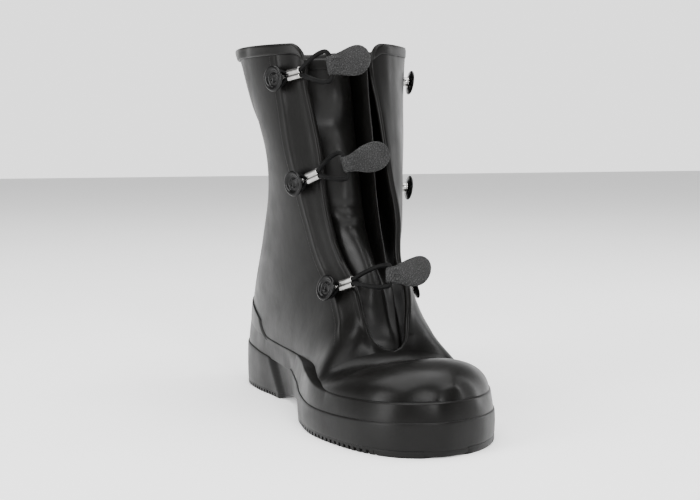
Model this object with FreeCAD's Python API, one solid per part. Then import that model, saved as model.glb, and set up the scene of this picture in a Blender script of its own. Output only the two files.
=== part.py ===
import FreeCAD, Part
import math
import os

# A rubber overboot for the left foot: moulded sole, one-piece upper, open front with a bellows gusset,
# and three elastic loops that reach from buttons on the inner flap to buttons on the outer flap.
# Millimetres. +Z up, toe towards -Y, outer side of the foot towards +X.
# The origin is on the floor, under the ball of the foot.

V = FreeCAD.Vector

# ---------------------------------------------------------------- driving sizes
TOE_Y, HEEL_Y = -70.0, 250.0        # length of the sole, 320
OUTSOLE_TOP = 7.0
SOLE_TOP = 17.0                     # floor of the upper
WALL = 2.6                          # rubber thickness of the upper
SIDEWALL_INSET = 0.4
FOXING_INSET = 1.6
RIB_PITCH, RIB_GROOVE, RIB_DEPTH = 5.0, 2.2, 2.2
CENTRE_STRIP = 8.0                  # half width of the uncut strip down the tread
CUFF_Z = 257.0                      # the binding starts here
CUFF_TOP = 265.0
FACING = 1.1                        # thickness of the facing strips
KERF = 3.0                          # clearance round the flaps
# y, z of the three buttons on the inner (-1) and the outer (1) flap
BUTTON_PLACES = {-1: [(114.0, 240.5), (96.5, 166.0), (67.0, 91.0)],
                 1: [(135.0, 241.0), (114.0, 161.0), (78.0, 87.0)]}
CAP_RADIUS, CAP_THICK = 9.25, 3.2
POST_RADIUS, POST_REACH = 3.7, 5.8  # the post stands this far out of the facing
HEAD_RADIUS, HEAD_THICK = 6.0, 1.0
WASHER_RADIUS, WASHER_THICK = 7.5, 1.0
CORD_RADIUS = 1.6
EYE_STEP = 52.0                     # turn between the corners of the cord's path round a post, degrees
FERRULE = (12.5, 8.4, 4.8)          # length, width, thickness
FERRULE_START = 10.5                # from the middle of the post
LOOP_LIFT = [9.0, 18.2, 18.0]       # how far each loop points up, degrees
LOOP_TURN = [20.0, 45.0, 24.0]      # how far it bends round the front, degrees
LOOP_REACH = [48.0, 45.3, 52.5]     # post to the end of the loop along its middle line
LOOP_HALF = [10.0, 9.0, 7.2]        # half the height of the loop at its widest
BAR_HALF = [7.0, 5.6, 5.2]          # half the height of the loop's end, inside the tab
TAB_LENGTH, TAB_HALF, TAB_THICK = 31.0, 12.0, 2.0
CORD_GAP = 1.1                      # between the loop and the end of the loop, which stretches away

# Sections of the upper from just above the cuff, down the shaft, fanning round the instep to the toe:
# (front y, z), (back y, z), inner half width, outer half width, front fullness, back fullness, widest place
STATIONS = [
    ((84, 300), (258, 300), 68, 68, 2.0, 2.0, 0.50),
    ((80, 265), (240, 265), 62, 62, 2.0, 2.0, 0.50),
    ((75, 227), (221, 227), 55, 55, 2.0, 2.0, 0.50),
    ((66, 190), (201, 190), 50, 50, 2.0, 2.0, 0.50),
    ((60, 160), (204, 156), 46, 46, 2.0, 2.1, 0.50),
    ((53, 140), (226, 115), 44, 44, 2.0, 2.2, 0.52),
    ((49, 129), (245, 69), 44, 44, 1.9, 2.3, 0.56),
    ((46, 120), (247, 33), 43, 43, 1.9, 2.5, 0.60),
    ((43, 113), (214, 17), 42, 42, 1.9, 3.2, 0.62),
    ((38, 101), (144, 17), 40, 44, 1.9, 4.0, 0.68),
    ((34, 85), (96, 17), 43, 50, 1.8, 4.5, 0.78),
    ((30, 64), (60, 17), 52, 57, 1.9, 4.5, 0.76),
    ((23, 47), (36, 17), 58, 59, 2.1, 4.5, 0.68),
    ((6, 47), (14, 17), 60, 57, 2.3, 4.5, 0.66),
    ((-10, 51), (-6, 17), 58, 52, 2.3, 4.5, 0.66),
    ((-24, 54), (-25, 17), 53, 45, 2.2, 4.5, 0.66),
    ((-38, 53), (-43, 17), 45, 35, 2.2, 4.5, 0.66),
    ((-50, 49), (-56, 17), 33, 22, 2.2, 4.5, 0.66),
    ((-58, 43), (-64, 17), 16, 8, 2.1, 4.0, 0.66),
]
SHAFT_STATIONS = 10                 # buttons and flaps lie among these first sections
BALL_STATION = 13                   # the toe is lofted on from here

# Outline of the sole: share of the length from the toe, and half width
INNER_OUTLINE = [(0.012, 25), (0.04, 40), (0.1, 53), (0.2, 62), (0.3, 64.5), (0.4, 59), (0.5, 49.5),
                 (0.6, 43), (0.7, 42), (0.8, 44), (0.9, 41), (0.96, 30), (0.99, 15)]
OUTER_OUTLINE = [(0.02, 14), (0.05, 28.5), (0.1, 42), (0.2, 56), (0.3, 63.5), (0.4, 66), (0.5, 62),
                 (0.6, 55.5), (0.7, 50), (0.8, 46), (0.9, 41), (0.96, 30), (0.99, 15)]
TOE_X, HEEL_X = -10.0, 0.0
# Side-view profiles (y, z)
SIDEWALL_TOP = [(-90, 23.5), (-40, 21), (20, 19.5), (60, 21), (110, 26), (160, 29), (210, 34), (270, 40)]
FOXING_TOP = [(-90, 34.5), (-40, 33), (20, 33), (60, 38), (110, 40), (160, 43), (210, 50), (270, 56)]
WAIST_NOTCH = [(65, -5), (67, 3), (71, 11), (78, 13), (124, 6), (146, 0), (146, -5)]
COUNTER = [(166, 30), (166, 47), (196, 62), (262, 74), (262, 30)]
# Front view of the opening (x, z), inner side, round the bottom, outer side
OPENING = [(-38, 275), (-37, 250), (-31, 190), (-26, 135), (-23, 110), (-19, 85), (-14, 64), (0, 51.5),
           (12, 60), (18, 76), (19, 92), (18, 132), (15, 165), (13, 200), (8, 250), (7, 275)]
# Rear edge of the facing on the inner side (y, z). On the outer side it lies further back.
SEAM = [(126, 280), (124, 250), (118, 207), (110, 175), (98, 133), (86, 100), (70, 84), (57, 68), (50, 58)]
OUTER_SEAM_SHIFT = 17.0
# Hinge line of a flap, lowest and highest point on the outer side
FLAP_AXIS_LOW, FLAP_AXIS_HIGH = (25.0, 50.0, 58.0), (58.0, 197.0, 264.0)
FLAP_MARGIN = 18.0                  # the flap reaches this far behind its hinge line
FLAP_FLOOR, FLAP_CEILING = 62.0, 275.0
# Plan of the gusset at five heights: z, then x, y of its folds from the inner flap to the outer flap
GUSSET_THICK = 1.5
GUSSET_LEVELS = [
    (66, (-11, 45), (-4, 44), (0, 44), (3, 43), (6, 47), (11, 47)),
    (90, (-19, 60.6), (-8, 58), (0, 57), (6, 49), (10, 60), (17, 59.4)),
    (135, (-27, 82), (-12, 82), (0, 80), (7, 69), (13, 86), (25, 78.6)),
    (190, (-33, 95), (-14, 98), (0, 96), (9, 82), (17, 102), (30, 89)),
    (246, (-39, 107), (-18, 108), (0, 106), (8, 92), (20, 112), (34, 102)),
]
GUSSET_BAND = (246.4, 253.5, 2.4)   # binding of the gusset: from, to, thickness


# ---------------------------------------------------------------- geometry helpers
def hermite(values, s):
    """A smooth curve through values, one unit of s apart."""
    last = len(values) - 1
    i = min(int(s), last - 1)
    t = s - i
    p1, p2 = values[i], values[i + 1]
    p0 = values[i - 1] if i > 0 else 2 * p1 - p2
    p3 = values[i + 2] if i < last - 1 else 2 * p2 - p1
    m1, m2 = (p2 - p0) / 2, (p3 - p1) / 2
    rise = 3 * t**2 - 2 * t**3
    return (1 - rise) * p1 + (t**3 - 2 * t**2 + t) * m1 + rise * p2 + (t**3 - t**2) * m2


STATION_COLUMNS = list(zip(*[(f[0], f[1], b[0], b[1], wi, wo, nf, nb, m)
                             for f, b, wi, wo, nf, nb, m in STATIONS]))


def power(c, n):
    return math.copysign(abs(c) ** (2.0 / n), c)


def upper_point(s, turn, out=0.0):
    """Point of the upper at section s. turn 0 is the front, 0.25 the outer side, 0.5 the back."""
    fy, fz, by, bz, inner, outer, nf, nb, m = [hermite(c, s) for c in STATION_COLUMNS]
    length = math.hypot(by - fy, bz - fz)
    a = 2 * math.pi * turn
    front = math.cos(a) >= 0
    n = nf if front else nb
    half = (m if front else 1 - m) * length + out
    along = m * length - half * power(math.cos(a), n)
    width = (outer if math.sin(a) >= 0 else inner) + out
    return V(width * power(math.sin(a), n), fy + (by - fy) * along / length, fz + (bz - fz) * along / length)


def closed_wire(points):
    curve = Part.BSplineCurve()
    curve.interpolate(Points=points, PeriodicFlag=True)
    return Part.Wire(curve.toShape())


def upper_solid(out, last=len(STATIONS) - 1):
    """The upper as a filled body that rises above the cuff, its surface moved out."""
    turns = [k / 40 for k in range(40)]
    wires = []
    for s in range(last + 1):
        wires.append(closed_wire([upper_point(s, t, out) for t in turns]))
    body = Part.makeLoft(wires[:BALL_STATION + 1], True, False)
    if last > BALL_STATION:
        body = body.fuse(Part.makeLoft(wires[BALL_STATION:], True, False))
    return body


def prism_x(points, reach=120):
    """A Y-Z polygon run right across X."""
    corners = [V(-reach, y, z) for y, z in points]
    return Part.Face(Part.makePolygon(corners + corners[:1])).extrude(V(2 * reach, 0, 0))


def curve_wire(points, extra):
    """An open spline through points, closed by straight lines through the extra corners."""
    curve = Part.BSplineCurve()
    curve.interpolate(Points=points)
    edges = [curve.toShape()]
    ring = [points[-1]] + extra + [points[0]]
    for a, b in zip(ring, ring[1:]):
        edges.append(Part.makeLine(a, b))
    return Part.Wire(edges)


def under(profile, reach=120, floor=-20):
    """Everything below a side-view profile."""
    top = [V(-reach, y, z) for y, z in profile]
    wire = curve_wire(top, [V(-reach, profile[-1][0], floor), V(-reach, profile[0][0], floor)])
    return Part.Face(wire).extrude(V(2 * reach, 0, 0))


def outline_points(inset):
    length = HEEL_Y - TOE_Y
    inner = [(-w, TOE_Y + t * length) for t, w in INNER_OUTLINE]
    outer = [(w, TOE_Y + t * length) for t, w in OUTER_OUTLINE]
    ring = [(TOE_X, TOE_Y)] + outer + [(HEEL_X, HEEL_Y)] + inner[::-1]
    moved = []
    for i, (x, y) in enumerate(ring):
        ax, ay = ring[i - 1]
        bx, by = ring[(i + 1) % len(ring)]
        run = math.hypot(bx - ax, by - ay)
        moved.append(V(x - inset * (by - ay) / run, y + inset * (bx - ax) / run, 0))
    return moved


def sole_prism(inset, low, high):
    face = Part.Face(closed_wire(outline_points(inset)))
    face.translate(V(0, 0, low))
    return face.extrude(V(0, 0, high - low))


def on_wall(y, z, side):
    """Point and outward normal of the upper's side wall at this side-view place. side is -1 inner, 1 outer."""
    best = (1e9, 0, 0)
    s_mid, t_mid, s_step, t_step = SHAFT_STATIONS / 2, 0.15, SHAFT_STATIONS / 2, 0.13
    for _ in range(14):
        for i in range(-4, 5):
            for j in range(-4, 5):
                s = min(max(s_mid + s_step * i / 4, 0), SHAFT_STATIONS)
                t = min(max(t_mid + t_step * j / 4, 0.02), 0.3)
                p = upper_point(s, t * side)
                best = min(best, (math.hypot(p.y - y, p.z - z), s, t))
        s_mid, t_mid = best[1], best[2]
        s_step *= 0.5
        t_step *= 0.5
    s, t, d = best[1], best[2] * side, 0.002
    low_s = min(s, SHAFT_STATIONS - 1) + d
    along = upper_point(low_s + d, t) - upper_point(low_s - d, t)
    across = upper_point(low_s, t + d) - upper_point(low_s, t - d)
    normal = along.cross(across).normalize()
    point = upper_point(s, t)
    if normal.x * side < 0:
        normal = normal * -1
    return point, normal


def frame(origin, x_axis, y_axis, z_axis):
    m = FreeCAD.Matrix(x_axis.x, y_axis.x, z_axis.x, origin.x,
                       x_axis.y, y_axis.y, z_axis.y, origin.y,
                       x_axis.z, y_axis.z, z_axis.z, origin.z, 0, 0, 0, 1)
    return FreeCAD.Placement(m)


def turned(vector, axis, degrees):
    return FreeCAD.Rotation(axis, degrees).multVec(vector)


def tube(points, radius, share=0.45):
    """A round bar along straight runs joined by tangent arcs."""
    edges = []
    here = points[0]
    for a, b, c in zip(points, points[1:], points[2:]):
        back, ahead = (a - b), (c - b)
        half_turn = (math.pi - back.getAngle(ahead)) / 2
        cut = share * min(back.Length, ahead.Length)
        start = b + back * (cut / back.Length)
        end = b + ahead * (cut / ahead.Length)
        arc_radius = cut / math.tan(half_turn)
        middle_way = (back.normalize() + ahead.normalize()).normalize()
        middle = b + middle_way * (arc_radius / math.cos(half_turn) - arc_radius)
        edges.append(Part.makeLine(here, start))
        edges.append(Part.Arc(start, middle, end).toShape())
        here = end
    edges.append(Part.makeLine(here, points[-1]))
    path = Part.Wire(edges)
    first = points[1] - points[0]
    section = Part.Wire(Part.makeCircle(radius, points[0], first))
    return path.makePipeShell([section], True, False)


def merged(shapes):
    whole = shapes[0]
    for other in shapes[1:]:
        whole = whole.fuse(other)
    return whole


# ---------------------------------------------------------------- sole
def tread_grooves():
    grooves = []
    for low, high in ((-47.0, 62.0), (152.0, 236.0)):
        for k in range(int((high - low) / RIB_PITCH)):
            y = low + k * RIB_PITCH
            for x in (-80, CENTRE_STRIP):
                grooves.append(Part.makeBox(80 - CENTRE_STRIP, RIB_GROOVE, RIB_DEPTH + 1, V(x, y, -1)))
    return Part.makeCompound(grooves)


def make_sole(upper_clear):
    """Outsole with ribbed tread, soft core, moulded sidewall and the foxing strip above it."""
    notch = prism_x(WAIST_NOTCH)
    waist_skin = prism_x([(y, z + 4.0) for y, z in WAIST_NOTCH])
    outsole = sole_prism(0, 0, OUTSOLE_TOP).fuse(sole_prism(6.5, 0, SOLE_TOP - 0.3).common(waist_skin))
    outsole = outsole.cut(notch).cut(tread_grooves())
    core = sole_prism(6.4, OUTSOLE_TOP + 0.1, SOLE_TOP - 0.4).cut(waist_skin).cut(outsole).cut(upper_clear)
    side = sole_prism(SIDEWALL_INSET, OUTSOLE_TOP + 0.1, 60).common(under(SIDEWALL_TOP))
    side = side.cut(upper_clear.fuse(sole_prism(6.2, -5, SOLE_TOP + WALL))).cut(notch)
    foxing = sole_prism(FOXING_INSET, OUTSOLE_TOP, 80).common(under(FOXING_TOP))
    foxing = foxing.cut(under([(y, z + 0.1) for y, z in SIDEWALL_TOP])).cut(upper_clear)
    return {"outsole": outsole, "sole_core": core, "sidewall": side, "foxing_strip": foxing}


# ---------------------------------------------------------------- upper, flaps and trim
def opening_cutter():
    points = [V(x, -60, z) for x, z in OPENING]
    wire = curve_wire(points, [])
    return Part.Face(wire).extrude(V(0, 215, 0))


def flap_zone(grow):
    """The part of the boot in front of the flaps' rear edge, right across."""
    (x0, y0, z0), (x1, y1, z1) = FLAP_AXIS_LOW, FLAP_AXIS_HIGH
    slope = (y1 - y0) / (z1 - z0)
    low = FLAP_FLOOR - grow
    margin = FLAP_MARGIN + grow * math.hypot(1, slope)
    low_y = y0 + slope * (low - z0) + margin
    high_y = y0 + slope * (FLAP_CEILING - z0) + margin
    return prism_x([(-60, low), (low_y, low), (high_y, FLAP_CEILING), (-60, FLAP_CEILING)])


def half(side):
    """Everything on one side of the middle plane."""
    return Part.makeBox(120, 500, 400, V(0 if side > 0 else -120, -150, -20))


def facing_zone(side):
    """Everything in front of the facing's rear edge, on one side."""
    shift = OUTER_SEAM_SHIFT if side > 0 else 0
    points = [V(0, y + shift, z) for y, z in SEAM]
    wire = curve_wire(points, [V(0, -60, SEAM[-1][1]), V(0, -60, SEAM[0][1])])
    return Part.Face(wire).extrude(V(120 * side, 0, 0))


def gusset_piece(first, last):
    """One side of the bellows: a folded sheet between the folds first and last, at every level."""
    wires = []
    for level in GUSSET_LEVELS:
        z, folds = level[0], level[1:]
        run = [V(x, y, z) for x, y in folds[first:last + 1]]
        back = [p + V(0, GUSSET_THICK, 0) for p in run[::-1]]
        wires.append(Part.makePolygon(run + back + run[:1]))
    return Part.makeLoft(wires, True, True)


def gusset_band(first, last):
    low, high, thick = GUSSET_BAND
    folds = GUSSET_LEVELS[-1][1:]
    run = [V(x, y - 0.4, low) for x, y in folds[first:last + 1]]
    back = [p + V(0, thick, 0) for p in run[::-1]]
    face = Part.Face(Part.makePolygon(run + back + run[:1]))
    return face.extrude(V(0, 0, high - low))


# ---------------------------------------------------------------- buttons
def button_frames(side):
    """Origin on the wall, forward tangent, up tangent and outward normal for each button."""
    frames = []
    for y, z in BUTTON_PLACES[side]:
        point, normal = on_wall(y, z, side)
        up = (V(0, 0, 1) - normal * normal.z).normalize()
        forward = up.cross(normal) * side
        if forward.y > 0:
            forward = forward * -1
        frames.append((point, forward, up, normal))
    return frames


def revolved(profile, point, normal):
    """A profile of (radius, height) turned about the normal."""
    corners = [V(r, 0, h) for r, h in profile]
    solid = Part.Face(Part.makePolygon(corners + corners[:1])).revolve(V(0, 0, 0), V(0, 0, 1), 360)
    solid.Placement = FreeCAD.Placement(point, FreeCAD.Rotation(V(0, 0, 1), normal))
    return solid


def button_cap(point, normal):
    h = FACING + POST_REACH
    r = CAP_RADIUS
    profile = [(0, h), (3.6, h), (5.2, h + 0.5), (r - 0.7, h + 1.1), (r, h + 1.8), (r - 0.3, h + 2.7),
               (r - 1.4, h + CAP_THICK), (r - 2.4, h + 2.9), (4.0, h + 1.7), (2.2, h + 1.6), (0, h + 1.6)]
    return revolved(profile, point, normal)


def button_post(point, normal):
    low = -WALL - WASHER_THICK - 0.1
    top = FACING + POST_REACH
    profile = [(0, low - HEAD_THICK), (HEAD_RADIUS - 0.6, low - HEAD_THICK), (HEAD_RADIUS, low - 0.5),
               (HEAD_RADIUS, low), (POST_RADIUS, low), (POST_RADIUS, top - 1.6), (POST_RADIUS + 0.8, top - 0.7),
               (POST_RADIUS + 0.8, top), (0, top)]
    return revolved(profile, point, normal)


def washer(point, normal):
    low = -WALL - WASHER_THICK - 0.05
    bore = POST_RADIUS + 0.05
    return revolved([(bore, low), (WASHER_RADIUS, low), (WASHER_RADIUS, -WALL - 0.05), (bore, -WALL - 0.05)],
                    point, normal)


def post_hole(point, normal):
    return revolved([(0, -12), (POST_RADIUS + 0.05, -12), (POST_RADIUS + 0.05, 8), (0, 8)], point, normal)


def washer_seat(point, normal):
    """Flattens the inside of the wall under the washer."""
    low = -WALL - WASHER_THICK - HEAD_THICK - 0.3
    r = WASHER_RADIUS + 0.3
    return revolved([(0, low - 6), (r, low - 6), (r, -WALL), (0, -WALL)], point, normal)


# ---------------------------------------------------------------- loops and pull tabs
def loop_frame(k):
    """Middle of the loop's cord at the post, its forward direction, its height direction, and its far end."""
    point, forward, up, normal = button_frames(-1)[k]
    eye = point + normal * (FACING + POST_REACH / 2)
    ahead = turned(forward, normal, LOOP_LIFT[k])
    if ahead.z < 0:
        ahead = turned(forward, normal, -LOOP_LIFT[k])
    tall = normal.cross(ahead)
    if tall.z < 0:
        tall = tall * -1
    far = turned(ahead, tall, LOOP_TURN[k])
    if far.dot(normal) > ahead.dot(normal):
        far = turned(ahead, tall, -LOOP_TURN[k])
    bend = eye + ahead * (FERRULE_START + FERRULE[0] + 6.0)
    end = bend + far * (LOOP_REACH[k] - FERRULE_START - FERRULE[0] - 6.0)
    return eye, normal, ahead, tall, far, bend, end


def loop_cord(k):
    """One cord from leg to leg round the post, and the end of the loop on its own."""
    eye, normal, ahead, tall, far, bend, end = loop_frame(k)
    neck = CORD_RADIUS + 0.15
    corner = (POST_RADIUS + CORD_RADIUS + 0.2) / math.cos(math.radians(EYE_STEP / 2))
    split = end - far * 9.0
    run, ends = [], []
    for sign in (1, -1):
        leg = [split + tall * (sign * LOOP_HALF[k]),
               bend + (split - bend) * 0.4 + tall * (sign * LOOP_HALF[k] * 0.72),
               eye + ahead * (FERRULE_START + FERRULE[0] + 1.5) + tall * (sign * neck),
               eye + ahead * (FERRULE_START - 1.0) + tall * (sign * neck)]
        run = run + leg if sign > 0 else run + leg[::-1]
        if sign > 0:
            for turn in range(5):
                angle = math.radians(180 + EYE_STEP * (2 - turn))
                run.append(eye + (ahead * math.cos(angle) - tall * math.sin(angle)) * corner)
        start = split + far * CORD_GAP + tall * (sign * LOOP_HALF[k])
        ends.append([start, start + far * 2.5, end + tall * (sign * (BAR_HALF[k] + 0.5))])
    return tube(run, CORD_RADIUS), tube(ends[0] + ends[1][::-1], CORD_RADIUS)


def ferrule(k, cord):
    eye, normal, ahead, tall, far, bend, end = loop_frame(k)
    length, width, thick = FERRULE
    start = eye + ahead * FERRULE_START
    barrels = []
    for sign in (1, -1):
        middle = start + tall * (sign * (width - thick) / 2)
        barrels.append(Part.makeCylinder(thick / 2, length, middle, ahead))
    return merged(barrels).cut(cord)


def pull_tab(k):
    """A pear-shaped leather tab folded round the end of the loop."""
    eye, normal, ahead, tall, far, bend, end = loop_frame(k)
    out = far.cross(tall)
    root = BAR_HALF[k] - 1.6
    outline = [V(2.0, root, 0), V(8, root + 2.2, 0), V(18, TAB_HALF, 0), V(26, TAB_HALF * 0.75, 0),
               V(TAB_LENGTH, 0, 0), V(26, -TAB_HALF * 0.75, 0), V(18, -TAB_HALF, 0),
               V(8, -root - 2.2, 0), V(2.0, -root, 0)]
    plate = Part.Face(curve_wire(outline, [])).extrude(V(0, 0, TAB_THICK))
    plate.translate(V(0, 0, -TAB_THICK / 2))
    fold = Part.makeCylinder(CORD_RADIUS + 1.5, 2 * root, V(0, -root, 0), V(0, 1, 0))
    bore = Part.makeCylinder(CORD_RADIUS + 0.25, 60, V(0, -30, 0), V(0, 1, 0))
    tab = merged([plate, fold]).cut(bore)
    tab.Placement = frame(end, far, tall, out)
    return tab


# ---------------------------------------------------------------- assembly
def build():
    parts = {}
    outer = upper_solid(0)
    inner = upper_solid(-WALL, last=len(STATIONS) - 2)
    clear = upper_solid(0.3)
    skin = upper_solid(0.3 + FACING, last=BALL_STATION)
    skin_inside = upper_solid(0.1, last=BALL_STATION)
    parts.update(make_sole(clear))

    below_cuff = Part.makeBox(300, 500, CUFF_Z + 60, V(-150, -150, -60))
    shell = outer.cut(inner).common(below_cuff)
    opening = opening_cutter()
    open_shell = shell.cut(opening)
    zone, wide_zone = flap_zone(0), flap_zone(KERF)
    parts["upper"] = open_shell.cut(wide_zone)

    heel = prism_x(COUNTER).cut(under([(y, z + 0.2) for y, z in FOXING_TOP]))
    parts["heel_counter"] = upper_solid(1.8).common(heel).cut(clear)
    insole_box = Part.makeBox(300, 500, 3.0, V(-150, -150, SOLE_TOP + WALL + 0.2))
    parts["insole"] = upper_solid(-WALL - 1.2, last=len(STATIONS) - 2).common(insole_box)

    band_box = Part.makeBox(300, 500, CUFF_TOP - CUFF_Z - 0.1, V(-150, -150, CUFF_Z + 0.1))
    band = upper_solid(1.5, BALL_STATION).cut(upper_solid(-WALL - 0.9, BALL_STATION)).common(band_box)
    band = band.cut(opening)
    parts["cuff_binding_back"] = band.cut(flap_zone(KERF + 0.5))
    facing_shell = skin.cut(skin_inside).cut(opening).common(below_cuff).common(zone)

    for side, name in ((-1, "inner"), (1, "outer")):
        frames = [(p, n) for p, f, u, n in button_frames(side)]
        holes = Part.makeCompound([post_hole(p, n) for p, n in frames])
        seats = Part.makeCompound([washer_seat(p, n) for p, n in frames])
        parts[f"flap_{name}"] = open_shell.common(zone).common(half(side)).cut(holes).cut(seats)
        parts[f"facing_{name}"] = facing_shell.common(facing_zone(side)).cut(holes)
        parts[f"cuff_binding_{name}"] = band.common(zone).common(half(side))
        parts[f"button_caps_{name}"] = Part.makeCompound([button_cap(p, n) for p, n in frames])
        parts[f"button_posts_{name}"] = Part.makeCompound([button_post(p, n) for p, n in frames])
        parts[f"button_washers_{name}"] = Part.makeCompound([washer(p, n) for p, n in frames])

    parts["gusset_inner"] = gusset_piece(0, 2)
    parts["gusset_outer"] = gusset_piece(2, 5)
    parts["gusset_binding_inner"] = gusset_band(0, 2)
    parts["gusset_binding_outer"] = gusset_band(2, 5)

    for k in range(3):
        cord, bight = loop_cord(k)
        parts[f"loop_cord_{k + 1}"] = cord
        parts[f"loop_end_{k + 1}"] = bight
        parts[f"ferrule_{k + 1}"] = ferrule(k, cord)
        parts[f"pull_tab_{k + 1}"] = pull_tab(k)
    return parts


def main():
    os.makedirs("parts", exist_ok=True)
    for name, shape in build().items():
        shape.exportStep(f"parts/{name}.step")


main()
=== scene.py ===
import math

import bmesh
import bpy
import numpy as np
from mathutils import Matrix, Vector
from mathutils.bvhtree import BVHTree


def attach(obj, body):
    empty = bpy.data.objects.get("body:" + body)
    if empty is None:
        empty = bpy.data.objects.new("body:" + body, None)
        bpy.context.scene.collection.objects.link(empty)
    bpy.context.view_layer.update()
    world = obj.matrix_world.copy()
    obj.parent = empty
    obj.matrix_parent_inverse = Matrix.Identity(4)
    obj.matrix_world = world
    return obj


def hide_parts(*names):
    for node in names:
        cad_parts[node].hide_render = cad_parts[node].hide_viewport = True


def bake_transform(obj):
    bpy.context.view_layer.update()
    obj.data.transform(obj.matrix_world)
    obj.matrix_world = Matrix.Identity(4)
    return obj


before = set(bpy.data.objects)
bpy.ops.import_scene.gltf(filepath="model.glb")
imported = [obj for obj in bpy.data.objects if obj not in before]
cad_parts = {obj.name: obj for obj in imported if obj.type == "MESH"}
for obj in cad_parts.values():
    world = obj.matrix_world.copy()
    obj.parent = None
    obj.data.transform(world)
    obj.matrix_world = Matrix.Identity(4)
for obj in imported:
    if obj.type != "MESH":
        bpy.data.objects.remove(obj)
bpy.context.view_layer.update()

MM = 0.001

# ---- sizes, in millimetres, as in the CAD model
TOE_Y, HEEL_Y = -70.0, 250.0
WALL, FOXING_INSET = 2.6, 1.3
RIB_PITCH, RIB_GROOVE, RIB_DEPTH, CENTRE_STRIP = 5.0, 2.2, 2.2, 8.0
BINDING_HEIGHT = 8.0
CORNER_RADIUS, CORNER_DROP = 9.0, 12.5
FACING = 1.1
POST_RADIUS, POST_REACH = 3.7, 5.8
CORD_RADIUS = 1.6
FERRULE_LENGTH, FERRULE_START = 12.5, 10.5
BUTTON_PLACES = {-1: [(114.0, 240.5), (96.5, 166.0), (67.0, 91.0)],
                 1: [(135.0, 241.0), (114.0, 161.0), (78.0, 87.0)]}
LOOP_LIFT, LOOP_TURN, LOOP_REACH = [9.0, 18.2, 18.0], [20.0, 45.0, 24.0], [48.0, 45.3, 52.5]
BEND_GAP = 6.0                      # from the ferrule to the place where the loop bends round the front
LOOP_CORNER = FERRULE_START + FERRULE_LENGTH + BEND_GAP
SIDE_NAME = {-1: "inner", 1: "outer"}

STATIONS = [
    ((84, 300), (258, 300), 68, 68, 2.0, 2.0, 0.50),
    ((80, 265), (240, 265), 62, 62, 2.0, 2.0, 0.50),
    ((75, 227), (221, 227), 55, 55, 2.0, 2.0, 0.50),
    ((66, 190), (201, 190), 50, 50, 2.0, 2.0, 0.50),
    ((60, 160), (204, 156), 46, 46, 2.0, 2.1, 0.50),
    ((53, 140), (226, 115), 44, 44, 2.0, 2.2, 0.52),
    ((49, 129), (245, 69), 44, 44, 1.9, 2.3, 0.56),
    ((46, 120), (247, 33), 43, 43, 1.9, 2.5, 0.60),
    ((43, 113), (214, 17), 42, 42, 1.9, 3.2, 0.62),
    ((38, 101), (144, 17), 40, 44, 1.9, 4.0, 0.68),
    ((34, 85), (96, 17), 43, 50, 1.8, 4.5, 0.78),
    ((30, 64), (60, 17), 52, 57, 1.9, 4.5, 0.76),
    ((23, 47), (36, 17), 58, 59, 2.1, 4.5, 0.68),
    ((6, 47), (14, 17), 60, 57, 2.3, 4.5, 0.66),
    ((-10, 51), (-6, 17), 58, 52, 2.3, 4.5, 0.66),
    ((-24, 54), (-25, 17), 53, 45, 2.2, 4.5, 0.66),
    ((-38, 53), (-43, 17), 45, 35, 2.2, 4.5, 0.66),
    ((-50, 49), (-56, 17), 33, 22, 2.2, 4.5, 0.66),
    ((-58, 43), (-64, 17), 16, 8, 2.1, 4.0, 0.66),
]
LAST = len(STATIONS) - 1
TOE_SECTION = 12                    # the opening lies behind this section
CUFF_STEP = 38.0                    # distance from section 1, the cuff, to section 2, in millimetres
COLUMNS = np.array([(f[0], f[1], b[0], b[1], wi, wo, nf, nb, m) for f, b, wi, wo, nf, nb, m in STATIONS],
                   float)
INNER_OUTLINE = [(0.012, 25), (0.04, 40), (0.1, 53), (0.2, 62), (0.3, 64.5), (0.4, 59), (0.5, 49.5),
                 (0.6, 43), (0.7, 42), (0.8, 44), (0.9, 41), (0.96, 30), (0.99, 15)]
OUTER_OUTLINE = [(0.02, 14), (0.05, 28.5), (0.1, 42), (0.2, 56), (0.3, 63.5), (0.4, 66), (0.5, 62),
                 (0.6, 55.5), (0.7, 50), (0.8, 46), (0.9, 41), (0.96, 30), (0.99, 15)]
TOE_X, HEEL_X = -10.0, 0.0
SIDEWALL_TOP = [(-90, 23.5), (-40, 21), (20, 19.5), (60, 21), (110, 26), (160, 29), (210, 34), (270, 40)]
FOXING_TOP = [(-90, 34.5), (-40, 33), (20, 33), (60, 38), (110, 40), (160, 43), (210, 50), (270, 56)]
WAIST_NOTCH = [(-90, 0), (65, 0), (71, 11), (78, 13), (124, 6), (146, 0), (270, 0)]
# Edges of the opening in front view, height and distance from the middle plane
EDGE = {-1: [(51.3, 0), (53, 8.4), (56, 13.8), (60, 17.0), (67, 18.9), (86, 20.0), (100, 21.3), (113, 23.8),
             (125, 26.7), (140, 29.6), (161, 32), (185, 33.4), (214, 36), (240, 39.2), (270, 40.4)],
        1: [(51.3, 0), (52.3, 4), (55, 8), (60, 11), (72, 14), (92, 18.5), (110, 20), (154, 18.5),
            (164, 16.5), (190, 13.5), (214, 11.5), (228, 9.5), (252, 6.8), (270, 6.4)]}
U_BOTTOM = 51.3
SEAM = [(50, 40), (58, 50), (68, 57), (84, 70), (100, 86), (133, 98), (175, 110), (207, 118), (250, 124),
        (280, 126)]
OUTER_SEAM_SHIFT = 17.0


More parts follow.
